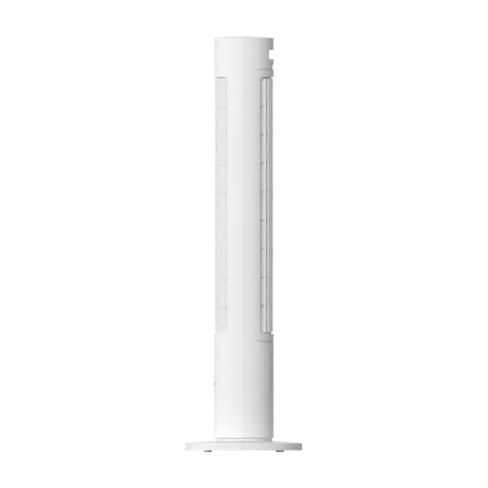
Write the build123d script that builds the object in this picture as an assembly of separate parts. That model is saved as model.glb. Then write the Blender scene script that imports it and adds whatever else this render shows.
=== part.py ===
from build123d import *
import os
from math import acos, cos, pi, radians, sin, sqrt, tan

# A tower fan: a slim round column that swings on a low round base.
# Millimetres. +Z is up, the floor is z = 0, the air leaves towards -Y and enters from +Y.
# Pieces of the rear half are drawn facing the front and then turned round by REAR.

# Base
BASE_DIAMETER = 311.0
BASE_DRAFT = 0.4
BASE_WALL = 3.0
RIM_HEIGHT = 19.2
RIM_ROUND = 1.6
BASE_CROWN = 6.3
FOOT_DROP = 4.5
FOOT_DIAMETER = 21.0
FOOT_INSET = 19.5
FOOT_SEAT = 1.5
FOOT_ROUND = 1.4
FOOT_COUNT = 4
PLATE_THICKNESS = 3.0
BASE_SCREW_INSET = 39.5
BASE_SCREW_COUNT = 6
BASE_SCREW_START = 30.0
BALLAST_THICKNESS = 6.0
BALLAST_EDGE = 5.0
SEAT_DEPTH = 2.0
NECK_INSET = 5.1
NECK_HEIGHT = 5.9
NECK_WIDTH = 32.0
INLET_DIAMETER = 10.0
INLET_BORE = 6.5
INLET_LENGTH = 12.0

# Swivel between base and tower
SWIVEL_GAP = 0.5
POST_DIAMETER = 30.0
POST_BORE = 20.0
POST_FLANGE = 96.0
POST_FLANGE_THICKNESS = 4.0
POST_SCREW_CIRCLE = 78.0
POST_SCREW_COUNT = 4
BUSH_WALL = 2.0
HUB_WALL = 5.0
HUB_DROP = 9.0
HUB_RISE = 8.0
CHASSIS_THICKNESS = 4.0
THRUST_WIDTH = 9.0
THRUST_SEAT = 2.4
NUT_HEIGHT = 7.0
NUT_WALL = 5.0

# Swing drive
GEAR_TEETH = 48
GEAR_TEETH_KEPT = 19
PINION_TEETH = 12
PRESSURE_ANGLE = 25.0
GEAR_WIDTH = 8.0
BACKLASH = 0.3
SWING_MOTOR_DIAMETER = 35.0
SWING_MOTOR_HEIGHT = 19.0
SWING_MOTOR_OFFSET = 8.0
SWING_MOTOR_GAP = 6.0
SWING_SHAFT_DIAMETER = 5.0
SWING_EAR = 21.0
SWING_EAR_THICKNESS = 1.5

# Tower column
TOWER_DIAMETER = 158.0
TOWER_HEIGHT = 1064.4
WALL = 2.5
LIP_ROUND = 4.5
LIP_THICKNESS = 2.8
LIP_WIDTH = 9.0
WINDOW_SILL = 277.6
WINDOW_HEADROOM = 103.8
WINDOW_CORNER = 6.0
FRONT_WINDOW_ANGLE = 110.8
CAP_EDGE = 1.6
CAP_CROWN = 3.9
CAP_WALL = 2.4
CAP_SKIRT = 8.0
CAP_ROUND = 0.8

# Rear cover and handle
COVER_ANGLE = 131.8
COVER_WALL = 2.6
COVER_CORNER = 8.5
COVER_BELOW = 19.7
COVER_ABOVE = 20.7
REAR_WINDOW_ANGLE = 114.0
LEDGE_ROOM = 1.2
LEDGE_END = 12.0
LEDGE_SLOT = 4.0
LEDGE_FULL = 60.0
LEDGE_WALL = 2.5
LEDGE_OUTSIDE = 8.0
PEG_DIAMETER = 5.0
PEG_SPREAD = 70.0
PEG_EDGE = 8.0
SCOOP_HEIGHT = 13.8
SCOOP_DEPTH = 2.6
SCOOP_RAMP = 3.6
SCOOP_PAD = 4.0
HANDLE_RISE = 26.8
HANDLE_HEIGHT = 24.3
HANDLE_WIDTH = 83.4
HANDLE_CORNER = 4.5
HANDLE_DEPTH = 40.0
CUP_WALL = 2.2

# Grilles
FRONT_INSET = 2.5
REAR_INSET = 2.3
FRONT_SLATS = 10
FRONT_SLAT_EDGE = 14.2
REAR_SLATS = 9
REAR_SLAT_EDGE = 17.5
SLAT_THICKNESS = 2.0
SLAT_DEPTH = 11.5
SLAT_SHORT = 5.0
SLAT_ROUND = 0.6
RIB_SETBACK = 3.0
BAR_SETBACK = 4.0
FRAME_THICKNESS = 2.5
FRAME_SIDE = 4.0
FRAME_END = 8.0
FRONT_BORDER = 3.0
REAR_BORDER = 2.0
RIB_COUNT = 8
RIB_HEIGHT = 3.2

# Air duct
DUCT_MARGIN = 10.0
DUCT_PLATE = 4.0
DUCT_WALL = 2.0
DUCT_EDGE = 2.0
DUCT_RIB = 3.5
DUCT_RIB_WIDTH = 4.0
SCROLL_START_ANGLE = 50.0
SCROLL_END_ANGLE = 124.0
TONGUE_ANGLE = 112.0
INTAKE_ANGLE = 66.0

# Impeller and fan motor
IMPELLER_DIAMETER = 88.0
IMPELLER_GAP = 4.0
BLADE_COUNT = 22
BLADE_SECTIONS = 7
BLADE_DEPTH = 11.0
BLADE_THICKNESS = 1.2
BLADE_RAKE = 4.0
BLADE_BOW = 2.0
DISC_THICKNESS = 2.4
DISC_EDGE = 0.6
MOTOR_DIAMETER = 72.0
MOTOR_HEIGHT = 38.0
MOTOR_EAR_REACH = 10.0
MOTOR_EAR_COUNT = 3
MOTOR_EAR_THICKNESS = 3.0
GROMMET_DIAMETER = 12.0
GROMMET_HEIGHT = 5.0
SHAFT_DIAMETER = 8.0
HUB_DIAMETER = 26.0
HUB_LENGTH = 20.0
AXLE_DIAMETER = 6.0
BEARING_WALL = 3.0
BEARING_LENGTH = 9.0
BEARING_SEAT_WALL = 4.5
BEARING_CUP_WALL = 3.0

# Controls and boards
BUTTON_NAMES = ("power_button", "speed_button", "swing_button", "timer_button")
BUTTON_DIAMETER = 16.0
BUTTON_CIRCLE = 88.0
BUTTON_STEP = 34.0
BUTTON_TRAVEL = 1.0
BUTTON_FLANGE = 1.4
BUTTON_FLANGE_THICKNESS = 1.2
BUTTON_STEM = 4.0
SWITCH_SIDE = 6.0
SWITCH_HEIGHT = 3.5
BOARD_THICKNESS = 1.6
BOARD_DROP = 11.0
BOARD_DIAMETER = 112.0
BOARD_POST_INSET = 7.0
BOARD_POST_DIAMETER = 6.0
BOARD_POST_COUNT = 4
INDICATOR_HEIGHT_ON_TOWER = 145.1
INDICATOR_WIDTH = 40.0
INDICATOR_HEIGHT = 8.0
INDICATOR_FLANGE = 2.0
INDICATOR_BOARD_WIDTH = 62.0
INDICATOR_BOARD_HEIGHT = 16.0
INDICATOR_BOARD_GAP = 8.0
MAIN_BOARD_WIDTH = 90.0
MAIN_BOARD_HEIGHT = 120.0
MAIN_BOARD_SILL = 80.0
MAIN_BOARD_SETBACK = 27.0
COIL_WIDTH = 30.0
COIL_DEPTH = 18.0
COIL_HEIGHT = 26.0
COOLER_THICKNESS = 4.0
COOLER_DEPTH = 14.0
COOLER_HEIGHT = 50.0
CAPACITOR_DIAMETER = 12.0
CAPACITOR_LENGTH = 20.0
CAPACITOR_PITCH = 18.0
CAPACITOR_EDGE = 25.0
CAPACITOR_COUNT = 3

# Screws
SCREW_DIAMETER = 3.0
SCREW_HEAD = 6.0
SCREW_HEAD_HEIGHT = 1.8
SCREW_LENGTH = 12.0
BOSS_DIAMETER = 8.0
SHELL_SCREW_ROWS = 3
SHELL_SCREW_END = 34.0
SHELL_BOSS_LENGTH = 20.0
SHELL_LUG_LENGTH = 8.0

# Clearances
FIT = 0.3
SEAM = 1.2
PARTING = 0.3
BASE_PARTING = 0.5
BUTTON_CLEAR = 0.25
RUNNING = 0.05
SCREW_CLEAR = 0.05
SINK = 1.0
HAIR = 0.01

# Levels and radii that follow from the sizes above
base_radius = BASE_DIAMETER / 2
base_low = FOOT_DROP
rim_top = base_low + RIM_HEIGHT
crown_level = rim_top + BASE_CROWN
plate_top = base_low + PLATE_THICKNESS
foot_circle = base_radius - FOOT_INSET
base_screw_circle = base_radius - BASE_SCREW_INSET
inlet_room = RIM_HEIGHT - BASE_WALL - PLATE_THICKNESS
inlet_level = plate_top + inlet_room / 2
ballast_top = plate_top + BALLAST_THICKNESS
seat_level = crown_level - SEAT_DEPTH
neck_top = crown_level + NECK_HEIGHT
lip_level = neck_top + SWIVEL_GAP
top_level = lip_level + TOWER_HEIGHT
tower_radius = TOWER_DIAMETER / 2
inner_radius = tower_radius - WALL
neck_radius = tower_radius - NECK_INSET
neck_inner = neck_radius - NECK_WIDTH
post_radius = POST_DIAMETER / 2
bush_radius = post_radius + RUNNING + BUSH_WALL
hub_radius = bush_radius + HUB_WALL
chassis_low = lip_level + LIP_THICKNESS
chassis_top = chassis_low + CHASSIS_THICKNESS
hub_low = chassis_low - HUB_DROP
hub_top = chassis_top + HUB_RISE
gear_low = hub_top + FIT
gear_top = gear_low + GEAR_WIDTH
swing_motor_reach = inner_radius - SWING_MOTOR_GAP - SWING_MOTOR_DIAMETER / 2
gear_spacing = swing_motor_reach - SWING_MOTOR_OFFSET
gear_module = 2 * gear_spacing / (GEAR_TEETH + PINION_TEETH)
gear_pitch_radius = gear_module * GEAR_TEETH / 2
window_low = lip_level + WINDOW_SILL
window_high = top_level - WINDOW_HEADROOM
window_height = window_high - window_low
rib_pitch = window_height / (RIB_COUNT + 1)
cover_low = window_low - COVER_BELOW
cover_high = window_high + COVER_ABOVE
cover_half_width = tower_radius * sin(radians(COVER_ANGLE / 2))
front_half_width = tower_radius * sin(radians(FRONT_WINDOW_ANGLE / 2))
rear_half_width = tower_radius * sin(radians(REAR_WINDOW_ANGLE / 2))
ledge_face = tower_radius - COVER_WALL - FIT
ledge_back = ledge_face - LEDGE_WALL
plate_radius = ledge_back - DUCT_EDGE
floor_top = window_low - DUCT_MARGIN
floor_low = floor_top - DUCT_PLATE
ceiling_low = window_high + DUCT_MARGIN
ceiling_top = ceiling_low + DUCT_PLATE
motor_ear_circle = MOTOR_DIAMETER / 2 + MOTOR_EAR_REACH
impeller_radius = IMPELLER_DIAMETER / 2
impeller_low = floor_top + IMPELLER_GAP
impeller_high = ceiling_low - 2 * IMPELLER_GAP
handle_low = cover_high + HANDLE_RISE
handle_high = handle_low + HANDLE_HEIGHT
cap_seat = top_level - CAP_EDGE
board_top = top_level - BOARD_DROP
board_post_circle = BOARD_DIAMETER / 2 - BOARD_POST_INSET
REAR = Rot(0, 0, 180)
REACH = 2 * tower_radius


def disc(radius, low, high):
    return Pos(0, 0, low) * extrude(Circle(radius), high - low)


def tube(outer, inner, low, high):
    return Pos(0, 0, low) * extrude(Circle(outer) - Circle(inner), high - low)


def around(radius, count, start=0.0):
    """Places evenly spaced on a circle about the tower axis."""
    return [Rot(0, 0, start + 360 * i / count) * Pos(radius, 0, 0) for i in range(count)]


def turned(points):
    """A solid of revolution about the tower axis from (radius, height) points and arcs of three points."""
    edges = []
    here = points[0]
    for step in points[1:] + [points[0]]:
        if len(step) == 3:
            middle, end = step[1], step[2]
            edges.append(ThreePointArc((here[0], 0, here[1]), (middle[0], 0, middle[1]), (end[0], 0, end[1])))
            here = end
        else:
            edges.append(Line((here[0], 0, here[1]), (step[0], 0, step[1])))
            here = step
    return revolve(make_face(edges), Axis.Z)


def panel(half_width, low, high, corner):
    """A rounded rectangle, seen from the front, driven from the tower axis through the front wall."""
    middle = Plane(origin=(0, 0, (low + high) / 2), x_dir=(1, 0, 0), z_dir=(0, -1, 0))
    return extrude(middle * RectangleRounded(2 * half_width, high - low, corner), REACH)


def band(outer, inner, outline):
    """The part of a round wall that lies inside an outline seen from the front."""
    box = outline.bounding_box()
    return tube(outer, inner, box.min.Z - SINK, box.max.Z + SINK) & outline


def front_half(shape, gap=PARTING):
    """The half of a round piece in front of the parting plane."""
    box = shape.bounding_box()
    middle = Pos(0, -gap / 2 - REACH, (box.min.Z + box.max.Z) / 2)
    return shape & (middle * Box(4 * REACH, 2 * REACH, box.max.Z - box.min.Z + SINK))


def peg(x, z, diameter, near, far):
    """A round bar along Y, from near to far."""
    place = Plane(origin=(x, near, z), x_dir=(1, 0, 0), z_dir=(0, 1, 0))
    return extrude(place * Circle(diameter / 2), far - near)


def wall_depth(radius, x):
    """How far in front of the axis a round wall lies at a sideways place."""
    return sqrt(radius ** 2 - x ** 2)


def screw(length):
    """A pan-head screw whose head stands on z = 0 and whose shank points down."""
    head = extrude(Circle(SCREW_HEAD / 2), SCREW_HEAD_HEIGHT)
    return head + Pos(0, 0, -length) * extrude(Circle(SCREW_DIAMETER / 2), length)


def polar(radius, angle):
    """A point in plan, its angle taken from the rear towards +X."""
    return (radius * sin(radians(angle)), radius * cos(radians(angle)))


def dome_height(edge_level, crown, radius):
    """The arc from the axis to the rim of a dome that rises by crown over the given radius."""
    bow = (radius ** 2 + crown ** 2) / (2 * crown)
    centre = edge_level + crown - bow
    return lambda r: centre + sqrt(bow ** 2 - r ** 2)


def base_shell():
    """The whole shallow dome of the base, before it is parted into a front and a rear half."""
    top = base_radius - BASE_DRAFT
    mouth = neck_radius + FIT
    inside = base_radius - BASE_WALL
    crown = BASE_CROWN * top ** 2 / (top ** 2 - neck_radius ** 2)
    height = dome_height(rim_top, crown, top)
    middle = (mouth + top) / 2
    shoulder = top - RIM_ROUND
    bend = RIM_ROUND * sin(radians(45))
    start = height(shoulder)
    cover = turned([
        (neck_inner, seat_level - BASE_WALL), (neck_inner, seat_level), (mouth, seat_level),
        (mouth, height(mouth)), ("arc", (middle, height(middle)), (shoulder, start)),
        ("arc", (shoulder + bend, start - RIM_ROUND + bend), (top, start - RIM_ROUND)),
        (base_radius, base_low), (inside, base_low), (inside, rim_top - BASE_WALL),
        (mouth + BASE_WALL, seat_level - BASE_WALL)])
    post = tube(BOSS_DIAMETER / 2, SCREW_DIAMETER / 2 + SCREW_CLEAR, plate_top, rim_top)
    for place in around(base_screw_circle, BASE_SCREW_COUNT, BASE_SCREW_START):
        cover += place * post
    ring = (neck_radius + neck_inner) / 2
    cover += tube(ring + BASE_WALL / 2, ring - BASE_WALL / 2, ballast_top, seat_level - SINK)
    return cover - peg(0, inlet_level, INLET_DIAMETER, base_radius - 2 * INLET_LENGTH, base_radius + SINK)


def make_base_front():
    return front_half(base_shell(), BASE_PARTING)


def make_base_rear():
    return REAR * front_half(REAR * base_shell(), BASE_PARTING)


def make_base_plate():
    plate = disc(base_radius - BASE_WALL - FIT, base_low, plate_top)
    foot = disc(FOOT_DIAMETER / 2 + FIT / 2, base_low, base_low + FOOT_SEAT)
    for place in around(foot_circle, FOOT_COUNT, 45):
        plate -= place * foot
    hole = disc(SCREW_DIAMETER / 2 + SCREW_CLEAR, base_low, plate_top)
    sink = disc(SCREW_HEAD / 2 + FIT, base_low, base_low + SCREW_HEAD_HEIGHT)
    for place in around(base_screw_circle, BASE_SCREW_COUNT, BASE_SCREW_START):
        plate -= place * (hole + sink)
    return plate


def make_feet():
    foot = disc(FOOT_DIAMETER / 2, 0, base_low + FOOT_SEAT)
    foot = fillet(foot.edges().group_by(Axis.Z)[0], FOOT_ROUND)
    return Compound([place * foot for place in around(foot_circle, FOOT_COUNT, 45)])


def make_base_screws():
    one = Pos(0, 0, base_low + SCREW_HEAD_HEIGHT) * Rot(180, 0, 0) * screw(SCREW_LENGTH)
    return Compound([place * one for place in around(base_screw_circle, BASE_SCREW_COUNT, BASE_SCREW_START)])


def make_ballast():
    rim = base_screw_circle - BOSS_DIAMETER / 2 - BALLAST_EDGE
    ballast = tube(rim, post_radius, plate_top, ballast_top)
    hole = disc(SCREW_DIAMETER / 2 + SCREW_CLEAR, plate_top, ballast_top)
    for place in around(POST_SCREW_CIRCLE / 2, POST_SCREW_COUNT, 45):
        ballast -= place * hole
    return ballast


def make_swivel_post():
    post = tube(post_radius, POST_BORE / 2, ballast_top, gear_top + NUT_HEIGHT)
    post += tube(POST_FLANGE / 2, POST_BORE / 2, ballast_top, ballast_top + POST_FLANGE_THICKNESS)
    hole = disc(SCREW_DIAMETER / 2 + SCREW_CLEAR, ballast_top, ballast_top + POST_FLANGE_THICKNESS)
    for place in around(POST_SCREW_CIRCLE / 2, POST_SCREW_COUNT, 45):
        post -= place * hole
    return post


def make_post_screws():
    one = Pos(0, 0, ballast_top + POST_FLANGE_THICKNESS) * screw(POST_FLANGE_THICKNESS + BALLAST_THICKNESS)
    return Compound([place * one for place in around(POST_SCREW_CIRCLE / 2, POST_SCREW_COUNT, 45)])


def make_neck_collar():
    collar = tube(neck_radius, neck_inner, seat_level, neck_top)
    middle = (neck_radius + neck_inner) / 2
    half = THRUST_WIDTH / 2 + FIT
    return collar - tube(middle + half, middle - half, neck_top - THRUST_SEAT, neck_top)


def make_thrust_ring():
    middle = (neck_radius + neck_inner) / 2
    return tube(middle + THRUST_WIDTH / 2, middle - THRUST_WIDTH / 2, neck_top - THRUST_SEAT, chassis_low)


def make_cord_inlet():
    near, far = base_radius - INLET_LENGTH, base_radius
    inlet = peg(0, inlet_level, INLET_DIAMETER - 2 * FIT, near, far + SINK)
    inlet &= disc(base_radius - BASE_DRAFT, base_low, rim_top)
    inlet += peg(0, inlet_level, inlet_room - 4 * FIT, near, base_radius - BASE_WALL - 2 * FIT)
    return inlet - peg(0, inlet_level, INLET_BORE, near - SINK, far + SINK)


def involute(angle):
    return tan(angle) - angle


def gear(teeth, kept, first, bore, low, high):
    """A spur gear about Z with some or all of its teeth, the first of them at a given angle."""
    pitch = gear_module * teeth / 2
    pressure = radians(PRESSURE_ANGLE)
    base = pitch * cos(pressure)
    tip = pitch + gear_module
    root = pitch - 1.25 * gear_module
    half = pi / (2 * teeth) - BACKLASH / (4 * pitch) + involute(pressure)

    def flank(radius, side):
        spread = half - involute(acos(min(1.0, base / radius)))
        return (radius * cos(side * spread), radius * sin(side * spread))

    start = max(base, root)
    middle = (start + tip) / 2
    foot = root - SINK
    spread = half - involute(acos(min(1.0, base / start)))
    inner = [(foot * cos(side * spread), foot * sin(side * spread)) for side in (1, -1)]
    tooth = make_face([
        Line(inner[0], flank(start, 1)), ThreePointArc(flank(start, 1), flank(middle, 1), flank(tip, 1)),
        ThreePointArc(flank(tip, 1), (tip, 0), flank(tip, -1)),
        ThreePointArc(flank(tip, -1), flank(middle, -1), flank(start, -1)),
        Line(flank(start, -1), inner[1]), Line(inner[1], inner[0])])
    tooth = Pos(0, 0, low) * extrude(tooth, high - low)
    wheel = tube(root, bore, low, high)
    for i in range(kept):
        wheel += Rot(0, 0, first + 360 * i / teeth) * tooth
    return wheel


def make_sector_gear():
    pitch_angle = 360 / GEAR_TEETH
    first = -90 - pitch_angle * (GEAR_TEETH_KEPT // 2)
    wheel = gear(GEAR_TEETH, GEAR_TEETH_KEPT, first, post_radius + RUNNING, gear_low, gear_top)
    reach = gear_pitch_radius + 2 * gear_module
    half = radians(pitch_angle * (GEAR_TEETH_KEPT / 2 + 0.5))
    slice_face = make_face(Polyline(
        (0, 0), (2 * reach * sin(half), -2 * reach * cos(half)), (0, -3 * reach),
        (-2 * reach * sin(half), -2 * reach * cos(half)), close=True))
    kept = Pos(0, 0, gear_low) * extrude(slice_face, GEAR_WIDTH)
    return wheel & (kept + disc(hub_radius, gear_low, gear_top))


def make_swing_pinion():
    first = 90 + 180 / PINION_TEETH
    pinion = gear(PINION_TEETH, PINION_TEETH, first, SWING_SHAFT_DIAMETER / 4, gear_low + FIT, gear_top - FIT)
    pinion += disc(SWING_SHAFT_DIAMETER / 2, gear_low + FIT, gear_top + SWING_MOTOR_HEIGHT / 2)
    return Pos(0, -gear_spacing, 0) * pinion


def make_swing_motor():
    low = gear_top + 2 * FIT
    body = Pos(0, -swing_motor_reach, 0) * disc(SWING_MOTOR_DIAMETER / 2, low, low + SWING_MOTOR_HEIGHT)
    body = chamfer(body.edges().group_by(Axis.Z)[-1], SWING_EAR_THICKNESS)
    ears = SlotCenterToCenter(2 * SWING_EAR, BOSS_DIAMETER)
    body += Pos(0, -swing_motor_reach, low) * extrude(ears, SWING_EAR_THICKNESS)
    hole = disc(SCREW_DIAMETER / 2 + SCREW_CLEAR, low, low + SWING_EAR_THICKNESS)
    for side in (-1, 1):
        body -= Pos(side * SWING_EAR, -swing_motor_reach, 0) * hole
    shaft_room = disc(SWING_SHAFT_DIAMETER / 2 + RUNNING, low, low + SWING_MOTOR_HEIGHT - WALL)
    return body - Pos(0, -gear_spacing, 0) * shaft_room


def make_swing_screws():
    level = gear_top + 2 * FIT + SWING_EAR_THICKNESS
    one = Pos(0, -swing_motor_reach, level) * screw(SCREW_LENGTH)
    return Compound([Pos(side * SWING_EAR, 0, 0) * one for side in (-1, 1)])


def make_retaining_nut():
    hexagon = RegularPolygon(post_radius + NUT_WALL, 6, major_radius=False) - Circle(post_radius + RUNNING)
    return Pos(0, 0, gear_top) * extrude(hexagon, NUT_HEIGHT)


def make_tower_chassis():
    chassis = tube(inner_radius - FIT, bush_radius, chassis_low, chassis_top)
    chassis += tube(hub_radius, bush_radius, hub_low, hub_top)
    stand = disc(BOSS_DIAMETER / 2, chassis_low, gear_top + 2 * FIT)
    hole = disc(SCREW_DIAMETER / 2 + SCREW_CLEAR, chassis_low, gear_top + 2 * FIT)
    for side in (-1, 1):
        chassis += Pos(side * SWING_EAR, -swing_motor_reach, 0) * stand
    for side in (-1, 1):
        chassis -= Pos(side * SWING_EAR, -swing_motor_reach, 0) * hole
    return chassis


def make_swivel_bush():
    return tube(bush_radius, post_radius + RUNNING, hub_low, hub_top)


def tower_tube():
    """The whole column wall with its rounded, turned-in lower lip."""
    corner = tower_radius - LIP_ROUND
    bend = LIP_ROUND * sin(radians(45))
    return turned([
        (tower_radius - LIP_WIDTH, lip_level), (corner, lip_level),
        ("arc", (corner + bend, lip_level + LIP_ROUND - bend), (tower_radius, lip_level + LIP_ROUND)),
        (tower_radius, cap_seat), (inner_radius, cap_seat), (inner_radius, chassis_low),
        (tower_radius - LIP_WIDTH, chassis_low)])


def duct_ribs():
    """Rings inside the column that hold the ends of the air duct."""
    inside = plate_radius - DUCT_RIB_WIDTH
    low = tube(inner_radius + WALL / 2, inside, floor_low - DUCT_RIB, floor_low)
    return low + tube(inner_radius + WALL / 2, inside, ceiling_top, ceiling_top + DUCT_RIB)


def shell_screw_places():
    """Sideways place and heights of the screws that join the two halves of the column."""
    x = inner_radius - BOSS_DIAMETER / 2 - 4 * FIT
    step = window_height / SHELL_SCREW_ROWS
    beside_window = [window_low + step * (i + 0.5) for i in range(SHELL_SCREW_ROWS)]
    levels = [lip_level + SHELL_SCREW_END] + beside_window + [top_level - SHELL_SCREW_END]
    return [(side * x, z) for z in levels for side in (-1, 1)]


def boss_web(x, z, length):
    """A flat web that ties a screw boss to the wall beside it."""
    side = 1 if x > 0 else -1
    return Pos(x + side * BOSS_DIAMETER / 2, -length / 2, z) * Box(BOSS_DIAMETER, length, BOSS_DIAMETER / 2)


def make_front_shell():
    shell = front_half(tower_tube() + duct_ribs())
    shell -= panel(front_half_width, window_low, window_high, WINDOW_CORNER)
    level = lip_level + INDICATOR_HEIGHT_ON_TOWER
    shell -= panel(INDICATOR_WIDTH / 2, level - INDICATOR_HEIGHT / 2, level + INDICATOR_HEIGHT / 2,
                   INDICATOR_HEIGHT / 2 - HAIR)
    room = front_half(disc(inner_radius + WALL / 2, lip_level, top_level))
    for x, z in shell_screw_places():
        boss = peg(x, z, BOSS_DIAMETER, -SHELL_BOSS_LENGTH, 0)
        shell += (boss + boss_web(x, z, SHELL_BOSS_LENGTH)) & room
    for x, z in shell_screw_places():
        shell -= peg(x, z, SCREW_DIAMETER + 2 * SCREW_CLEAR, -SHELL_BOSS_LENGTH + WALL, 0)
    back = inner_radius - INDICATOR_BOARD_GAP
    for side in (-1, 1):
        x = side * (INDICATOR_BOARD_WIDTH - BOSS_DIAMETER) / 2
        shell += peg(x, level, BOSS_DIAMETER / 2, -wall_depth(inner_radius + WALL / 2, x), -back)
    return shell


def make_rear_shell():
    shell = front_half(tower_tube() + duct_ribs())
    shell -= panel(cover_half_width + SEAM, cover_low - SEAM, cover_high + SEAM, COVER_CORNER + SEAM)
    around_cover = panel(cover_half_width + LEDGE_OUTSIDE, cover_low - LEDGE_OUTSIDE,
                         cover_high + LEDGE_OUTSIDE, COVER_CORNER + LEDGE_OUTSIDE)
    way_in = panel(rear_half_width + REAR_BORDER + LEDGE_ROOM, cover_low + LEDGE_END, cover_high - LEDGE_END,
                   COVER_CORNER)
    cover_room = panel(cover_half_width + SEAM, cover_low - SEAM, cover_high + SEAM, COVER_CORNER + SEAM)
    ledge = band(ledge_face, ledge_back, around_cover) - way_in
    web = band(inner_radius + WALL / 2, ledge_face - SINK, around_cover) - cover_room
    slot = panel(cover_half_width + LEDGE_SLOT, cover_low - LEDGE_SLOT, cover_high + LEDGE_SLOT,
                 COVER_CORNER + LEDGE_SLOT)
    slot -= disc(REACH, cover_low + LEDGE_SLOT, cover_high - LEDGE_SLOT)
    slot -= disc(ledge_back - LEDGE_SLOT, lip_level, top_level)
    slot -= panel(LEDGE_FULL / 2, lip_level, top_level, COVER_CORNER)
    trough = band(ledge_face, ledge_back - LEDGE_SLOT - SINK, around_cover)
    trough -= disc(REACH, cover_low + LEDGE_SLOT + SINK, cover_high - LEDGE_SLOT - SINK)
    shell += front_half(ledge + trough + web - slot)
    scoop_low = cover_high + SEAM
    scoop_high = cover_high + SCOOP_HEIGHT
    scoop_half = wall_depth(tower_radius, tower_radius - SCOOP_DEPTH) + SCOOP_PAD
    pad = panel(scoop_half, scoop_low, scoop_high + SCOOP_PAD, SCOOP_PAD)
    shell += band(inner_radius + WALL / 2, inner_radius - SCOOP_PAD, pad)
    floor = tower_radius - SCOOP_DEPTH
    start, outside = scoop_low - 2 * SINK, tower_radius + SINK
    scoop = make_face(Polyline(
        (0, -floor, start), (0, -floor, scoop_high - SCOOP_RAMP), (0, -outside, scoop_high),
        (0, -outside, start), close=True))
    shell -= extrude(scoop, REACH / 2, dir=(1, 0, 0), both=True) - disc(ledge_face + SINK, 0, cover_high)
    shell -= panel(HANDLE_WIDTH / 2, handle_low, handle_high, HANDLE_CORNER)
    for x, z in peg_places():
        tip = wall_depth(tower_radius - COVER_WALL, x) - LEDGE_WALL - FIT
        shell -= peg(x, z, PEG_DIAMETER + 2 * FIT, -tower_radius, -tip + FIT)
    room = front_half(disc(inner_radius + WALL / 2, lip_level, top_level))
    for x, z in shell_screw_places():
        lug = peg(x, z, BOSS_DIAMETER, -SHELL_LUG_LENGTH, 0)
        shell += (lug + boss_web(x, z, SHELL_LUG_LENGTH)) & room
    for x, z in shell_screw_places():
        shell -= peg(x, z, SCREW_DIAMETER + 2 * SCREW_CLEAR, -SHELL_LUG_LENGTH, 0)
        head = -SHELL_LUG_LENGTH - SINK - SCREW_HEAD_HEIGHT
        shell -= peg(x, z, SCREW_HEAD + 2 * FIT, head, -SHELL_LUG_LENGTH)
    depth = inner_radius - MAIN_BOARD_SETBACK
    for x, z in main_board_places():
        shell += peg(x, z, BOSS_DIAMETER, -wall_depth(inner_radius + WALL / 2, x), -depth)
    return REAR * shell


def peg_places():
    """Where the pegs of the rear cover stand, seen from the rear."""
    return [(side * PEG_SPREAD / 2, z) for side in (-1, 1)
            for z in (cover_low + PEG_EDGE, cover_high - PEG_EDGE)]


def make_shell_screws():
    one = Rot(-90, 0, 0) * screw(SHELL_LUG_LENGTH + SHELL_BOSS_LENGTH / 2)
    return Compound([Pos(x, SHELL_LUG_LENGTH, z) * one for x, z in shell_screw_places()])


def grille(face, border_face, half_width, border, slats, slat_edge):
    """Upright slats with level ribs in a window, carried by a frame at their back; faces the front."""
    back = face - SLAT_DEPTH
    edge = panel(half_width + border, window_low - border, window_high + border, WINDOW_CORNER + border)
    window = panel(half_width, window_low, window_high, WINDOW_CORNER)
    hole = panel(half_width - FRAME_SIDE, window_low + FRAME_END, window_high - FRAME_END, WINDOW_CORNER)
    rib_room = panel(half_width + SINK, window_low, window_high, WINDOW_CORNER)
    piece = band(back + FRAME_THICKNESS, back, edge) - hole
    piece += band(border_face, back, edge) - window
    piece += band(face - BAR_SETBACK, back + 2 * SINK, rib_room) - hole
    pitch = 2 * (half_width - slat_edge) / (slats - 1)
    for i in range(slats):
        x = pitch * (i - (slats - 1) / 2)
        section = (Circle(face) - Circle(back + SINK)) & Pos(x, -REACH / 2) * Rectangle(SLAT_THICKNESS, REACH)
        section = fillet(section.vertices().sort_by(Axis.Y)[:2], SLAT_ROUND)
        piece += Pos(0, 0, window_low + SLAT_SHORT) * extrude(section, window_height - 2 * SLAT_SHORT)
    for i in range(RIB_COUNT):
        level = window_low + rib_pitch * (i + 1) - RIB_HEIGHT / 2
        piece += tube(face - RIB_SETBACK, back + 2 * SINK, level, level + RIB_HEIGHT) & rib_room
    beside_bosses = Pos(0, REACH / 2 - SHELL_BOSS_LENGTH - FIT, (window_low + window_high) / 2)
    return piece - beside_bosses * Box(2 * REACH, REACH, 2 * window_height)


def make_front_grille():
    face = tower_radius - FRONT_INSET
    return grille(face, inner_radius - FIT, front_half_width, FRONT_BORDER, FRONT_SLATS, FRONT_SLAT_EDGE)


def make_rear_cover():
    back = tower_radius - COVER_WALL
    outline = panel(cover_half_width, cover_low, cover_high, COVER_CORNER)
    cover = band(tower_radius, back, outline) - panel(rear_half_width, window_low, window_high, WINDOW_CORNER)
    cover += grille(tower_radius - REAR_INSET, back + COVER_WALL / 2, rear_half_width, REAR_BORDER,
                    REAR_SLATS, REAR_SLAT_EDGE)
    for x, z in peg_places():
        depth = wall_depth(back, x)
        cover += peg(x, z, PEG_DIAMETER, -depth - COVER_WALL / 2, -depth + LEDGE_WALL + FIT)
    return REAR * cover


def make_handle_cup():
    mouth = panel(HANDLE_WIDTH / 2, handle_low, handle_high, HANDLE_CORNER)
    outer = panel(HANDLE_WIDTH / 2 + CUP_WALL, handle_low - CUP_WALL, handle_high + CUP_WALL,
                  HANDLE_CORNER + CUP_WALL)
    back = tower_radius - HANDLE_DEPTH
    room = Pos(0, -back - REACH / 2, (handle_low + handle_high) / 2) * Box(REACH, REACH, REACH)
    inside = disc(inner_radius - FIT, handle_low - REACH, handle_high + REACH)
    block = outer & (Pos(0, CUP_WALL, 0) * room) & inside
    return REAR * (block - (mouth & room))


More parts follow.
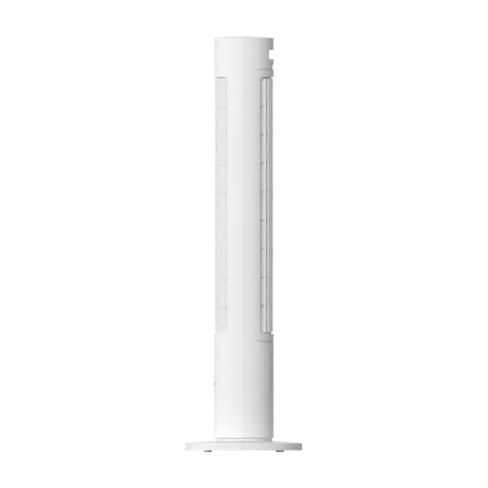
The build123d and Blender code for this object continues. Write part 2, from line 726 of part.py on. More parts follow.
def cap_profile(edge, thickness):
    """The height of the domed top at a radius, less a thickness."""
    height = dome_height(edge, CAP_CROWN, tower_radius)
    return lambda r: height(r) - thickness


def button_places():
    """Turns about the tower axis that put the buttons on an arc at the front of the cap."""
    count = len(BUTTON_NAMES)
    turns = [BUTTON_STEP * (i - (count - 1) / 2) for i in range(count)]
    return [Rot(0, 0, turn) * Pos(0, -BUTTON_CIRCLE / 2, 0) for turn in turns]


def make_top_cap():
    outer = cap_profile(top_level, 0)
    under = cap_profile(top_level, CAP_WALL)
    skirt = inner_radius - FIT
    inside = skirt - WALL
    shoulder = tower_radius - CAP_ROUND
    bend = CAP_ROUND * sin(radians(45))
    start = outer(shoulder)
    cap = turned([
        (0, outer(0)), ("arc", (shoulder / 2, outer(shoulder / 2)), (shoulder, start)),
        ("arc", (shoulder + bend, start - CAP_ROUND + bend), (tower_radius, start - CAP_ROUND)),
        (tower_radius, cap_seat), (skirt, cap_seat), (skirt, cap_seat - CAP_SKIRT),
        (inside, cap_seat - CAP_SKIRT), (inside, under(inside)),
        ("arc", (inside / 2, under(inside / 2)), (0, under(0)))])
    post = disc(BOARD_POST_DIAMETER / 2, board_top, under(board_post_circle) + SINK)
    for place in around(board_post_circle, BOARD_POST_COUNT):
        cap += place * post
    for place in button_places():
        cap -= place * disc(BUTTON_DIAMETER / 2 + BUTTON_CLEAR, cap_seat - CAP_SKIRT, top_level + CAP_CROWN)
    return cap


def make_button(place):
    radius = BUTTON_DIAMETER / 2
    under = cap_profile(top_level, CAP_WALL)(BUTTON_CIRCLE / 2 + radius + BUTTON_FLANGE + SINK) - FIT
    outer = cap_profile(top_level, 0)
    middle = tower_radius / 2
    dome = turned([
        (0, outer(0)), ("arc", (middle, outer(middle)), (tower_radius, outer(tower_radius))),
        (tower_radius, lip_level), (0, lip_level)])
    button = disc(radius, under - BUTTON_FLANGE_THICKNESS, top_level + CAP_CROWN + SINK)
    button += disc(radius + BUTTON_FLANGE, under - BUTTON_FLANGE_THICKNESS, under)
    button += disc(BUTTON_STEM / 2, board_top + SWITCH_HEIGHT + BUTTON_TRAVEL + FIT, under)
    return (place * button) & dome


def make_control_board():
    board = disc(BOARD_DIAMETER / 2, board_top - BOARD_THICKNESS, board_top)
    return board - disc(BOARD_DIAMETER / 8, board_top - BOARD_THICKNESS, board_top)


def make_switches():
    switch = Pos(0, 0, board_top + SWITCH_HEIGHT / 2) * Box(SWITCH_SIDE, SWITCH_SIDE, SWITCH_HEIGHT)
    return Compound([place * switch for place in button_places()])


def make_indicator_lens():
    level = lip_level + INDICATOR_HEIGHT_ON_TOWER
    half, tall = INDICATOR_WIDTH / 2 - FIT, INDICATOR_HEIGHT / 2 - FIT
    lens = band(tower_radius, inner_radius - FIT - SINK, panel(half, level - tall, level + tall, tall - HAIR))
    half, tall = INDICATOR_WIDTH / 2 + INDICATOR_FLANGE, INDICATOR_HEIGHT / 2 + INDICATOR_FLANGE
    back = panel(half, level - tall, level + tall, tall - HAIR)
    return lens + band(inner_radius - FIT, inner_radius - FIT - INDICATOR_FLANGE, back)


def make_indicator_board():
    level = lip_level + INDICATOR_HEIGHT_ON_TOWER
    depth = inner_radius - INDICATOR_BOARD_GAP - BOARD_THICKNESS / 2
    board = Pos(0, -depth, level) * Box(INDICATOR_BOARD_WIDTH, BOARD_THICKNESS, INDICATOR_BOARD_HEIGHT)
    sensor = Pos(0, -depth - BOARD_THICKNESS / 2 - SINK, level) * Box(SWITCH_SIDE, 2 * SINK, SWITCH_SIDE)
    return board + sensor


def main_board_places():
    """Where the posts of the main board stand, seen from the rear."""
    low = lip_level + MAIN_BOARD_SILL
    x = (MAIN_BOARD_WIDTH - BOSS_DIAMETER) / 2
    return [(side * x, z) for side in (-1, 1)
            for z in (low + BOSS_DIAMETER / 2, low + MAIN_BOARD_HEIGHT - BOSS_DIAMETER / 2)]


def make_main_board():
    low = lip_level + MAIN_BOARD_SILL
    face = inner_radius - MAIN_BOARD_SETBACK - BOARD_THICKNESS
    middle = low + MAIN_BOARD_HEIGHT / 2
    place = Pos(0, face + BOARD_THICKNESS / 2, middle)
    board = place * Box(MAIN_BOARD_WIDTH, BOARD_THICKNESS, MAIN_BOARD_HEIGHT)
    side = MAIN_BOARD_WIDTH / 4
    coil = Pos(-side, face - COIL_DEPTH / 2, middle - MAIN_BOARD_HEIGHT / 4)
    board += coil * Box(COIL_WIDTH, COIL_DEPTH + SINK, COIL_HEIGHT)
    cooler = Pos(side, face - COOLER_DEPTH / 2, middle)
    board += cooler * Box(COOLER_THICKNESS, COOLER_DEPTH + SINK, COOLER_HEIGHT)
    level = low + MAIN_BOARD_HEIGHT - CAPACITOR_EDGE
    for i in range(CAPACITOR_COUNT):
        x = CAPACITOR_PITCH * (i - (CAPACITOR_COUNT - 1) / 2)
        board += peg(x, level, CAPACITOR_DIAMETER, face - CAPACITOR_LENGTH, face + SINK / 2)
    return board


def make_duct_floor():
    floor = disc(plate_radius, floor_low, floor_top) - disc(HUB_DIAMETER / 2, floor_low, floor_top)
    hole = disc(SCREW_DIAMETER / 2 + SCREW_CLEAR, floor_low, floor_top)
    for place in around(motor_ear_circle, MOTOR_EAR_COUNT, 30):
        floor -= place * hole
    return floor


def bearing_levels():
    return ceiling_low - BEARING_LENGTH / 2, ceiling_low + BEARING_LENGTH / 2


def make_duct_ceiling():
    low, high = bearing_levels()
    seat = AXLE_DIAMETER / 2 + RUNNING + BEARING_WALL + BEARING_SEAT_WALL
    ceiling = disc(plate_radius, ceiling_low, ceiling_top)
    ceiling += disc(seat + BEARING_CUP_WALL, low, high + BEARING_CUP_WALL)
    ceiling -= disc(seat, low, high)
    return ceiling - disc(seat - DUCT_WALL, high, high + BEARING_CUP_WALL)


def make_bearing_seat():
    low, high = bearing_levels()
    inside = AXLE_DIAMETER / 2 + RUNNING + BEARING_WALL
    return tube(inside + BEARING_SEAT_WALL, inside, low, high)


def make_bearing_bush():
    low, high = bearing_levels()
    return tube(AXLE_DIAMETER / 2 + RUNNING + BEARING_WALL, AXLE_DIAMETER / 2 + RUNNING, low, high)


def duct_wall(sketch):
    return Pos(0, 0, floor_top) * extrude(sketch, ceiling_low - floor_top)


def strip(start, middle, end):
    """A wall of even thickness in plan along an arc through three points."""
    return offset(ThreePointArc(start, middle, end), DUCT_WALL / 2, side=Side.BOTH)


def scroll_radius(angle):
    """A spiral that opens from the impeller to the outlet; the angle is taken from the rear."""
    inner = impeller_radius + IMPELLER_GAP
    outer = duct_mouth()
    share = (angle - SCROLL_START_ANGLE) / (SCROLL_END_ANGLE - SCROLL_START_ANGLE)
    return inner * (outer / inner) ** share


def duct_mouth():
    """The radius at which the duct walls end behind the front grille."""
    return tower_radius - FRONT_INSET - SLAT_DEPTH - 1.5 * DUCT_WALL


def intake_point(side):
    return polar(tower_radius - REAR_INSET - SLAT_DEPTH - DUCT_WALL, side * INTAKE_ANGLE)


def make_scroll_wall():
    start, end = SCROLL_START_ANGLE, SCROLL_END_ANGLE
    middle = (start + end) / 2
    points = [polar(scroll_radius(a) + DUCT_WALL / 2, -a) for a in (start, middle, end)]
    wall = make_face(strip(*points).edges())
    nose = points[0]
    lip = make_face(offset(Line(nose, intake_point(-1)), DUCT_WALL / 2, side=Side.BOTH).edges())
    return duct_wall(wall + lip)


def make_stabiliser_wall():
    nose = polar(impeller_radius + 1.5 * IMPELLER_GAP, TONGUE_ANGLE)
    mouth = polar(duct_mouth(), SCROLL_END_ANGLE)
    middle = polar(impeller_radius + 3.5 * IMPELLER_GAP, (TONGUE_ANGLE + INTAKE_ANGLE) / 2)
    outlet = make_face(offset(Line(nose, mouth), DUCT_WALL / 2, side=Side.BOTH).edges())
    intake = make_face(strip(nose, middle, intake_point(1)).edges())
    return duct_wall(outlet + intake + Pos(*nose) * Circle(DUCT_WALL))


def blade_face():
    """One forward-curved blade in plan, as two arcs from the inner to the outer edge."""
    outer = impeller_radius - DISC_EDGE
    inner = outer - BLADE_DEPTH
    thick = BLADE_THICKNESS / 2
    near, far = (inner, -BLADE_RAKE), (sqrt(outer ** 2 - BLADE_RAKE ** 2), BLADE_RAKE)
    middle = ((near[0] + far[0]) / 2, -BLADE_BOW)
    rise = thick / 2
    front = ThreePointArc((near[0], near[1] + thick), (middle[0], middle[1] + thick), (far[0], far[1] + rise))
    back = ThreePointArc((near[0], near[1] - thick), (middle[0], middle[1] - thick), (far[0], far[1] - thick))
    return make_face([front, back, Line(front @ 0, back @ 0), Line(front @ 1, back @ 1)])


def make_impeller():
    length = impeller_high - impeller_low
    section = (length - DISC_THICKNESS) / BLADE_SECTIONS
    inner = impeller_radius - DISC_EDGE - BLADE_DEPTH - 2 * DISC_THICKNESS
    blade = Pos(0, 0, impeller_low + DISC_THICKNESS / 2) * extrude(blade_face(), length - DISC_THICKNESS)
    wheel = disc(impeller_radius, impeller_low, impeller_low + DISC_THICKNESS)
    wheel += disc(impeller_radius, impeller_high - DISC_THICKNESS, impeller_high)
    for i in range(1, BLADE_SECTIONS):
        level = impeller_low + section * i
        wheel += tube(impeller_radius, inner, level, level + DISC_THICKNESS)
    wheel += [Rot(0, 0, 360 * i / BLADE_COUNT) * blade for i in range(BLADE_COUNT)]
    wheel += disc(HUB_DIAMETER / 2, impeller_low, impeller_low + HUB_LENGTH)
    wheel += disc(HUB_DIAMETER / 2, impeller_high - HUB_LENGTH, impeller_high)
    wheel -= disc(SHAFT_DIAMETER / 2, impeller_low, impeller_low + HUB_LENGTH)
    return wheel - disc(AXLE_DIAMETER / 2, impeller_high - HUB_LENGTH, impeller_high)


def motor_levels():
    high = floor_low - GROMMET_HEIGHT
    return high - MOTOR_HEIGHT, high


def make_fan_motor():
    low, high = motor_levels()
    motor = disc(MOTOR_DIAMETER / 2, low, high)
    rims = motor.edges().group_by(Axis.Z)
    motor = chamfer(rims[0] + rims[-1], MOTOR_EAR_THICKNESS)
    for place in around(motor_ear_circle, MOTOR_EAR_COUNT, 30):
        arm = Pos(-motor_ear_circle / 4, 0, high - MOTOR_EAR_THICKNESS / 2)
        motor += place * arm * Box(motor_ear_circle / 2, GROMMET_DIAMETER, MOTOR_EAR_THICKNESS)
        motor += place * disc(GROMMET_DIAMETER / 2, high - MOTOR_EAR_THICKNESS, high)
    hole = disc(SCREW_DIAMETER / 2 + SCREW_CLEAR, low, high)
    for place in around(motor_ear_circle, MOTOR_EAR_COUNT, 30):
        motor -= place * hole
    return motor - disc(SHAFT_DIAMETER / 2 + RUNNING, low + WALL, high)


def make_motor_grommets():
    low, high = motor_levels()
    grommet = tube(GROMMET_DIAMETER / 2, SCREW_DIAMETER / 2 + SCREW_CLEAR, high, floor_low)
    return Compound([place * grommet for place in around(motor_ear_circle, MOTOR_EAR_COUNT, 30)])


def make_motor_screws():
    low, high = motor_levels()
    length = MOTOR_EAR_THICKNESS + GROMMET_HEIGHT + DUCT_PLATE
    one = Pos(0, 0, high - MOTOR_EAR_THICKNESS) * Rot(180, 0, 0) * screw(length)
    return Compound([place * one for place in around(motor_ear_circle, MOTOR_EAR_COUNT, 30)])


def make_motor_shaft():
    low, high = motor_levels()
    return disc(SHAFT_DIAMETER / 2, low + WALL + FIT, impeller_low + HUB_LENGTH)


def make_stub_axle():
    low, high = bearing_levels()
    return disc(AXLE_DIAMETER / 2, impeller_high - HUB_LENGTH, high)


NODES = {
    "base_front": make_base_front,
    "base_rear": make_base_rear,
    "base_plate": make_base_plate,
    "rubber_feet": make_feet,
    "base_screws": make_base_screws,
    "ballast_plate": make_ballast,
    "swivel_post": make_swivel_post,
    "post_screws": make_post_screws,
    "neck_collar": make_neck_collar,
    "thrust_ring": make_thrust_ring,
    "cord_inlet": make_cord_inlet,
    "sector_gear": make_sector_gear,
    "retaining_nut": make_retaining_nut,
    "swing_pinion": make_swing_pinion,
    "swing_motor": make_swing_motor,
    "swing_screws": make_swing_screws,
    "tower_chassis": make_tower_chassis,
    "swivel_bush": make_swivel_bush,
    "front_shell": make_front_shell,
    "rear_shell": make_rear_shell,
    "shell_screws": make_shell_screws,
    "front_grille": make_front_grille,
    "rear_cover": make_rear_cover,
    "handle_cup": make_handle_cup,
    "top_cap": make_top_cap,
    "control_board": make_control_board,
    "switches": make_switches,
    "indicator_lens": make_indicator_lens,
    "indicator_board": make_indicator_board,
    "main_board": make_main_board,
    "duct_floor": make_duct_floor,
    "duct_ceiling": make_duct_ceiling,
    "scroll_wall": make_scroll_wall,
    "stabiliser_wall": make_stabiliser_wall,
    "bearing_seat": make_bearing_seat,
    "bearing_bush": make_bearing_bush,
    "impeller": make_impeller,
    "fan_motor": make_fan_motor,
    "motor_grommets": make_motor_grommets,
    "motor_screws": make_motor_screws,
    "motor_shaft": make_motor_shaft,
    "stub_axle": make_stub_axle,
}

os.makedirs("parts", exist_ok=True)
for name, make in NODES.items():
    export_step(make(), f"parts/{name}.step")
for name, place in zip(BUTTON_NAMES, button_places()):
    export_step(make_button(place), f"parts/{name}.step")
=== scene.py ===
from math import cos, pi, radians, sin, sqrt

import bpy
import bmesh
from mathutils import Matrix, Vector


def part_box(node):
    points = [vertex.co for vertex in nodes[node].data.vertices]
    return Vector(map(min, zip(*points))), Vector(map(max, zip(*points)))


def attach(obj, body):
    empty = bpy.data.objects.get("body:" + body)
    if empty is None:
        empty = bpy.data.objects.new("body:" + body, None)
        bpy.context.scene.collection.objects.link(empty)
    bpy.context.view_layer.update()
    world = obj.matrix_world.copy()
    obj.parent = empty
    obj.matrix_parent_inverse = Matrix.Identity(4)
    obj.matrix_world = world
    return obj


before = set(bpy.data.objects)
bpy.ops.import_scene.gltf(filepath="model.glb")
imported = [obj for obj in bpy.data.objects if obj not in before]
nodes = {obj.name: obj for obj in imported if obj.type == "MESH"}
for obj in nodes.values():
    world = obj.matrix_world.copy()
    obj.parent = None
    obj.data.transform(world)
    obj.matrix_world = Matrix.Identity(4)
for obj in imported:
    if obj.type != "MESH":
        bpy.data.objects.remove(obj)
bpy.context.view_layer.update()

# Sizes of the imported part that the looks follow, in metres
TOWER_RADIUS = 0.079
TOP_EDGE = 1.1008
CAP_CROWN = 0.0039
TONGUE_PLACE = 0.0757
TONGUE_THICKNESS = 0.001
TONGUE_WIDTH = 0.004
TONGUE_RUNS = ((0.0445, 0.0655), (0.0755, 0.296), (1.016, 1.0615), (1.0725, 1.0895))
SIGN_SINK = 0.00005
SIGN_HEIGHT = 0.00012

# The photograph's frame: its width, and the point in its middle
PHOTO_METRES = 1.2971
PHOTO_LEVEL = 0.5531
PHOTO_SIDE = 0.0003
CAMERA_AWAY = 3.0
CAMERA_SIGHT = 50.0

# The studio: floor, and lamps by name, turn from the camera towards the rear, height, strength and spread
FLOOR_REACH = 20.0
FLOOR_BOUNCE = 0.3
FLOOR_GLOW = 0.2
LAMP_AWAY = 3.0
LAMPS = (
    ("left", -105, 15, 1.47, 40),
    ("left_front", -80, 15, 0.23, 40),
    ("beside", -30, 15, 1.09, 40),
    ("camera", -5, 15, 1.47, 40),
    ("camera_right", 20, 15, 0.25, 40),
    ("right", 50, 15, 0.24, 40),
    ("above", 0, 88, 0.30, 60),
    ("far_right", 170, 15, 1.60, 40),
    ("far_left", -165, 15, 0.20, 40),
)

# Finishes: roughness from slow patch to slow patch, share of gloss, and how far painted shade reaches into a gap
SATIN = (0.3, 0.38)
FRONT_GLOSS = 0.15
REAR_GLOSS = 0.06
PLAIN_GLOSS = 0.5
PAINTED_SHADE_REACH = 0.015
SLOW_PATCHES = 9.0


def new_material(name):
    material = bpy.data.materials.new(name)
    material.use_nodes = True
    tree = material.node_tree
    shader = tree.nodes["Principled BSDF"]
    place = tree.nodes.new("ShaderNodeTexCoord")
    return material, tree, shader, place.outputs["Object"]


def noise(tree, place, scale, detail=3.0, rough=0.55):
    cloud = tree.nodes.new("ShaderNodeTexNoise")
    cloud.inputs["Scale"].default_value = scale
    cloud.inputs["Detail"].default_value = detail
    cloud.inputs["Roughness"].default_value = rough
    tree.links.new(place, cloud.inputs["Vector"])
    return cloud.outputs["Fac"]


def between(tree, value, low, high):
    ramp = tree.nodes.new("ShaderNodeMapRange")
    ramp.inputs["From Min"].default_value = 0.3
    ramp.inputs["From Max"].default_value = 0.7
    ramp.inputs["To Min"].default_value = low
    ramp.inputs["To Max"].default_value = high
    tree.links.new(value, ramp.inputs["Value"])
    return ramp.outputs["Result"]


def tint(tree, value, one, two):
    ramp = tree.nodes.new("ShaderNodeValToRGB")
    ramp.color_ramp.elements[0].position = 0.3
    ramp.color_ramp.elements[0].color = (*one, 1)
    ramp.color_ramp.elements[1].position = 0.7
    ramp.color_ramp.elements[1].color = (*two, 1)
    tree.links.new(value, ramp.inputs["Fac"])
    return ramp.outputs["Color"]


def shaded_in(tree, colour, darkest):
    """Paints shade into a colour: darker where other surfaces are near, in narrow openings and deep corners."""
    room = tree.nodes.new("ShaderNodeAmbientOcclusion")
    room.samples = 8
    room.inputs["Distance"].default_value = PAINTED_SHADE_REACH
    level = tree.nodes.new("ShaderNodeMapRange")
    level.inputs["From Min"].default_value = 0.1
    level.inputs["From Max"].default_value = 0.7
    level.inputs["To Min"].default_value = darkest
    tree.links.new(room.outputs["AO"], level.inputs["Value"])
    mix = tree.nodes.new("ShaderNodeMix")
    mix.data_type = "RGBA"
    mix.blend_type = "MULTIPLY"
    mix.inputs["Factor"].default_value = 1.0
    tree.links.new(colour, mix.inputs["A"])
    tree.links.new(level.outputs["Result"], mix.inputs["B"])
    return mix.outputs["Result"]


def finish_of(name, one, two, rough=(0.4, 0.5), grain=1500.0, relief=0.00002, strength=0.25, metal=0.0, painted_gap_shade=None,
              gloss=PLAIN_GLOSS):
    """A moulded or metal surface: slow tint and gloss changes and a fine grain; where asked, painted shade near other
    surfaces.
    """
    material, tree, shader, place = new_material(name)
    slow = noise(tree, place, SLOW_PATCHES)
    fine = noise(tree, place, grain, 2.0)
    colour = tint(tree, slow, one, two)
    if painted_gap_shade:
        colour = shaded_in(tree, colour, painted_gap_shade)
    tree.links.new(colour, shader.inputs["Base Color"])
    tree.links.new(between(tree, slow, *rough), shader.inputs["Roughness"])
    shader.inputs["Metallic"].default_value = metal
    shader.inputs["Specular IOR Level"].default_value = gloss
    bump = tree.nodes.new("ShaderNodeBump")
    bump.inputs["Strength"].default_value = strength
    bump.inputs["Distance"].default_value = relief
    tree.links.new(fine, bump.inputs["Height"])
    tree.links.new(bump.outputs["Normal"], shader.inputs["Normal"])
    return material


def grey(value):
    return (value, value, value)


FRONT_WHITE = finish_of("front_white", grey(0.835), grey(0.855), SATIN, gloss=FRONT_GLOSS)
BASE_WHITE = finish_of("base_white", (0.831, 0.835, 0.848), (0.851, 0.855, 0.868), SATIN, gloss=FRONT_GLOSS)
# The rear white is a little darker and cooler than the front white; its darkening is painted shade on the side away
# from the lamps.
REAR_WHITE_PAINTED_SHADE = finish_of("rear_white_painted_shade", (0.821, 0.825, 0.838), (0.841, 0.845, 0.858), SATIN, gloss=REAR_GLOSS)
# The cover's white is darker again than the rear white as painted shade, and it has painted shade near other surfaces.
COVER_WHITE_PAINTED_SHADE = finish_of("cover_white_painted_shade", (0.788, 0.792, 0.804), (0.808, 0.812, 0.824), SATIN, painted_gap_shade=0.2, gloss=REAR_GLOSS)
# The grille's white is lighter than the shells' white as painted light on the slats, and it has painted shade near
# other surfaces.
GRILLE_PAINTED_LIGHT_AND_SHADE = finish_of("grille_white_painted_light_and_shade", grey(0.865), grey(0.885), SATIN, painted_gap_shade=0.5, gloss=FRONT_GLOSS)
BUTTON_WHITE = finish_of("button_white", grey(0.70), grey(0.73), (0.3, 0.4), gloss=FRONT_GLOSS)
# The neck's white is darker than the shells' white: painted shade under the column's lip.
NECK_WHITE_PAINTED_SHADE = finish_of("neck_white_painted_shade", grey(0.73), grey(0.76), gloss=FRONT_GLOSS)
INNER_GREY = finish_of("inner_grey", grey(0.42), grey(0.46))
DARK_PLASTIC = finish_of("dark_plastic", grey(0.035), grey(0.05), (0.45, 0.6))
SLIDE_WHITE = finish_of("slide_white", grey(0.75), grey(0.8))
FOOT_RUBBER = finish_of("foot_rubber", grey(0.86), grey(0.9), (0.7, 0.85), 900.0, 0.00005, 0.4)
RUBBER = finish_of("rubber", grey(0.30), grey(0.36), (0.7, 0.85), 900.0, 0.00005, 0.4)
STEEL = finish_of("steel", (0.50, 0.50, 0.52), (0.56, 0.56, 0.58), (0.25, 0.4), 600.0, 0.00001, 0.2, 1.0)
ZINC = finish_of("zinc", (0.62, 0.63, 0.66), (0.70, 0.70, 0.72), (0.3, 0.45), 500.0, 0.00001, 0.2, 1.0)
BRONZE = finish_of("bronze", (0.50, 0.33, 0.15), (0.56, 0.38, 0.19), (0.3, 0.45), 700.0, 0.00001, 0.2, 1.0)
BOARD = finish_of("board", (0.03, 0.13, 0.05), (0.04, 0.17, 0.07), (0.35, 0.5))
SIGN_GREY = finish_of("sign_grey", grey(0.16), grey(0.2), (0.5, 0.6))
LENS = finish_of("smoked_lens", grey(0.02), grey(0.03), (0.06, 0.12), 300.0, 0.000002, 0.1)

LOOKS = {
    GRILLE_PAINTED_LIGHT_AND_SHADE: ["front_grille"],
    FRONT_WHITE: ["front_shell", "top_cap", "base_front"],
    REAR_WHITE_PAINTED_SHADE: ["rear_shell", "handle_cup"],
    BASE_WHITE: ["base_rear"],
    COVER_WHITE_PAINTED_SHADE: ["rear_cover"],
    BUTTON_WHITE: ["power_button", "speed_button", "swing_button", "timer_button"],
    NECK_WHITE_PAINTED_SHADE: ["neck_collar"],
    INNER_GREY: ["base_plate", "cord_inlet"],
    DARK_PLASTIC: ["impeller", "switches", "tower_chassis", "duct_floor", "duct_ceiling", "scroll_wall",
                   "stabiliser_wall"],
    SLIDE_WHITE: ["thrust_ring", "sector_gear", "swing_pinion", "swivel_bush"],
    FOOT_RUBBER: ["rubber_feet"],
    RUBBER: ["bearing_seat", "motor_grommets"],
    STEEL: ["ballast_plate", "swivel_post", "retaining_nut", "motor_shaft", "stub_axle"],
    ZINC: ["base_screws", "post_screws", "swing_screws", "shell_screws", "motor_screws", "swing_motor", "fan_motor"],
    BRONZE: ["bearing_bush"],
    BOARD: ["control_board", "indicator_board", "main_board"],
    LENS: ["indicator_lens"],
}
for material, names in LOOKS.items():
    for name in names:
        nodes[name].data.materials.clear()
        nodes[name].data.materials.append(material)


def new_object(name, data):
    thing = bpy.data.objects.new(name, data)
    bpy.context.scene.collection.objects.link(thing)
    return thing


def dome_level(x, y):
    """The height of the domed top at a place in plan."""
    bow = (TOWER_RADIUS ** 2 + CAP_CROWN ** 2) / (2 * CAP_CROWN)
    return TOP_EDGE + CAP_CROWN - bow + sqrt(bow ** 2 - x ** 2 - y ** 2)


def arc_strip(radius, width, start, end, steps=40, centre=(0.0, 0.0)):
    """A bent strip as a row of four-cornered faces; sizes in millimetres, angles in degrees."""
    quads = []
    for i in range(steps):
        one, two = (radians(start + (end - start) * k / steps) for k in (i, i + 1))
        inner, outer = radius - width / 2, radius + width / 2
        quads.append([(centre[0] + r * cos(a), centre[1] + r * sin(a))
                      for r, a in ((inner, one), (outer, one), (outer, two), (inner, two))])
    return quads


def bar(x0, y0, x1, y1, width):
    length = sqrt((x1 - x0) ** 2 + (y1 - y0) ** 2)
    dx, dy = (y1 - y0) / length * width / 2, (x0 - x1) / length * width / 2
    return [[(x0 + dx, y0 + dy), (x1 + dx, y1 + dy), (x1 - dx, y1 - dy), (x0 - dx, y0 - dy)]]


def arrow_head(x, y, angle, size):
    tip = (x + size * cos(radians(angle)), y + size * sin(radians(angle)))
    sides = [(x + size * 0.75 * cos(radians(angle + t)), y + size * 0.75 * sin(radians(angle + t))) for t in (90, -90)]
    return [[tip, sides[0], sides[1]]]


def blade(turn, steps=14):
    """One swept blade of the fan sign, as a row of faces from the hub to the tip."""
    quads = []
    for i in range(steps):
        ends = []
        for k in (i, i + 1):
            share = k / steps
            radius = 0.7 + 3.1 * share
            half = 0.10 + 0.62 * sin(pi * share ** 0.8) + 0.06
            lean = radians(turn + 38 * share)
            ends.append([(radius * cos(lean + side * half), radius * sin(lean + side * half)) for side in (-1, 1)])
        quads.append([ends[0][0], ends[1][0], ends[1][1], ends[0][1]])
    return quads


def raised_sign(name, button, body, faces):
    """A thin printed sign on a button, laid on the dome of the top."""
    low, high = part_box(button)
    middle = ((low[0] + high[0]) / 2, (low[1] + high[1]) / 2)
    work = bmesh.new()
    for face in faces:
        corners = []
        for x, y in face:
            px, py = middle[0] + x / 1000, middle[1] + y / 1000
            corners.append(work.verts.new((px, py, dome_level(px, py) - SIGN_SINK)))
        work.faces.new(corners)
    bmesh.ops.remove_doubles(work, verts=work.verts, dist=0.000001)
    raised = bmesh.ops.extrude_face_region(work, geom=list(work.faces))["geom"]
    bmesh.ops.translate(work, vec=(0, 0, SIGN_HEIGHT), verts=[g for g in raised if isinstance(g, bmesh.types.BMVert)])
    bmesh.ops.recalc_face_normals(work, faces=work.faces)
    mesh = bpy.data.meshes.new(name)
    work.to_mesh(mesh)
    work.free()
    mesh.materials.append(SIGN_GREY)
    sign = new_object(name, mesh)
    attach(sign, body)


def make_signs():
    ring = arc_strip(3.3, 0.75, 120, 420) + bar(0, 0.9, 0, 4.2, 0.75)
    raised_sign("power_sign", "power_button", "power_key", ring)
    fan = [q for turn in (90, 210, 330) for q in blade(turn)] + arc_strip(0.35, 0.7, 0, 360, 20)
    raised_sign("speed_sign", "speed_button", "speed_key", fan)
    swing = arc_strip(3.9, 0.75, 40, 140, centre=(0, -2.2)) + bar(0, -2.6, 0, -0.2, 0.75)
    for side, angle in ((40, -50), (140, 230)):
        x, y = 3.9 * cos(radians(side)), -2.2 + 3.9 * sin(radians(side))
        swing += arrow_head(x, y, angle, 1.5)
    raised_sign("swing_sign", "swing_button", "swing_key", swing)
    clock = arc_strip(3.4, 0.75, 0, 360) + bar(0, -0.2, 0, 2.3, 0.7) + bar(-0.2, 0, 1.7, 0, 0.7)
    raised_sign("timer_sign", "timer_button", "timer_key", clock)


def sees_backdrop(tree):
    """1 for rays from the camera, from gloss and through glass, 0 for the light that falls on the object."""
    rays = tree.nodes.new("ShaderNodeLightPath")
    total = rays.outputs["Is Camera Ray"]
    for name in ("Is Glossy Ray", "Is Transmission Ray"):
        step = tree.nodes.new("ShaderNodeMath")
        step.operation = "MAXIMUM"
        tree.links.new(total, step.inputs[0])
        tree.links.new(rays.outputs[name], step.inputs[1])
        total = step.outputs["Value"]
    return total


def make_tongue():
    """Grey strips behind the parting line of the column, so that no light passes between its two shells; their grey
    paints the shade inside the seam.
    """
    work = bmesh.new()
    for low, high in TONGUE_RUNS:
        for side in (-1, 1):
            middle = Matrix.Translation((side * TONGUE_PLACE, 0, (low + high) / 2))
            sizes = Matrix.Diagonal((TONGUE_THICKNESS, TONGUE_WIDTH, high - low, 1))
            bmesh.ops.create_cube(work, size=1.0, matrix=middle @ sizes)
    mesh = bpy.data.meshes.new("seam_tongue_painted_shade")
    work.to_mesh(mesh)
    work.free()
    # Grey where the shells are white: painted shade inside the seam.
    mesh.materials.append(INNER_GREY)
    tongue = new_object("seam_tongue_painted_shade", mesh)
    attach(tongue, "tower")


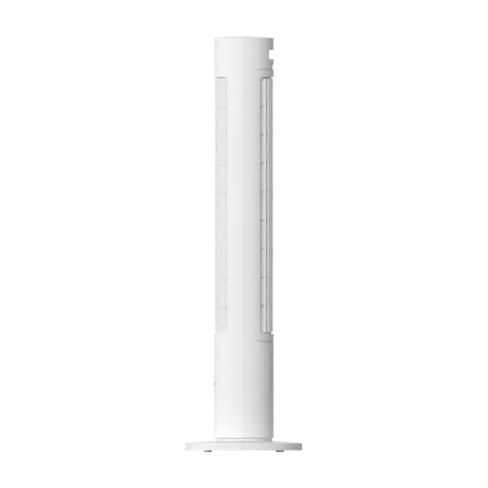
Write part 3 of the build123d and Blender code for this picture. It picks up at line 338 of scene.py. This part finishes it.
def make_floor():
    """A pale sheet that takes the shadow and throws little light back up."""
    mesh = bpy.data.meshes.new("floor")
    far = FLOOR_REACH
    mesh.from_pydata([(-far, -far, 0), (far, -far, 0), (far, far, 0), (-far, far, 0)], [], [(0, 1, 2, 3)])
    floor = new_object("floor", mesh)
    material, tree, shader, place = new_material("floor_paper")
    pale = tint(tree, noise(tree, place, 40.0), grey(0.91), grey(0.93))
    mix = tree.nodes.new("ShaderNodeMix")
    mix.data_type = "RGBA"
    mix.inputs["A"].default_value = (*grey(FLOOR_BOUNCE), 1)
    seen = sees_backdrop(tree)
    tree.links.new(seen, mix.inputs["Factor"])
    glow = tree.nodes.new("ShaderNodeMath")
    glow.operation = "MULTIPLY"
    glow.inputs[1].default_value = FLOOR_GLOW
    tree.links.new(seen, glow.inputs[0])
    tree.links.new(glow.outputs["Value"], shader.inputs["Emission Strength"])
    shader.inputs["Emission Color"].default_value = (1, 1, 1, 1)
    tree.links.new(pale, mix.inputs["B"])
    tree.links.new(mix.outputs["Result"], shader.inputs["Base Color"])
    shader.inputs["Roughness"].default_value = 0.9
    shader.inputs["Specular IOR Level"].default_value = 0.0
    mesh.materials.append(material)


def make_world():
    """White surroundings for the camera, gloss and glass; only the lamps light the object."""
    world = bpy.data.worlds.new("studio")
    bpy.context.scene.world = world
    world.use_nodes = True
    tree = world.node_tree
    tree.nodes.clear()
    dark = tree.nodes.new("ShaderNodeBackground")
    dark.inputs["Strength"].default_value = 0.0
    white = tree.nodes.new("ShaderNodeBackground")
    white.inputs["Strength"].default_value = 1.0
    for node in (dark, white):
        node.inputs["Color"].default_value = (1, 1, 1, 1)
    mix = tree.nodes.new("ShaderNodeMixShader")
    tree.links.new(sees_backdrop(tree), mix.inputs["Fac"])
    tree.links.new(dark.outputs["Background"], mix.inputs[1])
    tree.links.new(white.outputs["Background"], mix.inputs[2])
    out = tree.nodes.new("ShaderNodeOutputWorld")
    tree.links.new(mix.outputs["Shader"], out.inputs["Surface"])


def make_lamp(name, turn, height, strength, spread):
    """A wide, distant softbox that leaves no highlight of its own."""
    data = bpy.data.lights.new(name, "SUN")
    data.energy = strength
    data.angle = radians(spread)
    light = new_object(name, data)
    level = cos(radians(height))
    towards = Vector((level * cos(radians(turn)), level * sin(radians(turn)), sin(radians(height))))
    light.rotation_mode = "QUATERNION"
    light.rotation_quaternion = towards.to_track_quat("Z", "Y")
    light.location = towards * LAMP_AWAY
    light.visible_glossy = False


def make_camera():
    data = bpy.data.cameras.new("camera")
    data.type = "ORTHO"
    data.ortho_scale = PHOTO_METRES
    camera = new_object("camera", data)
    camera.location = (CAMERA_AWAY, PHOTO_SIDE, PHOTO_LEVEL)
    camera.rotation_euler = (radians(90), 0, radians(90))
    data.clip_end = CAMERA_SIGHT
    bpy.context.scene.camera = camera


make_signs()
make_tongue()
make_floor()
make_world()
for lamp in LAMPS:
    make_lamp(*lamp)
make_camera()
bpy.context.scene.view_settings.view_transform = "Standard"
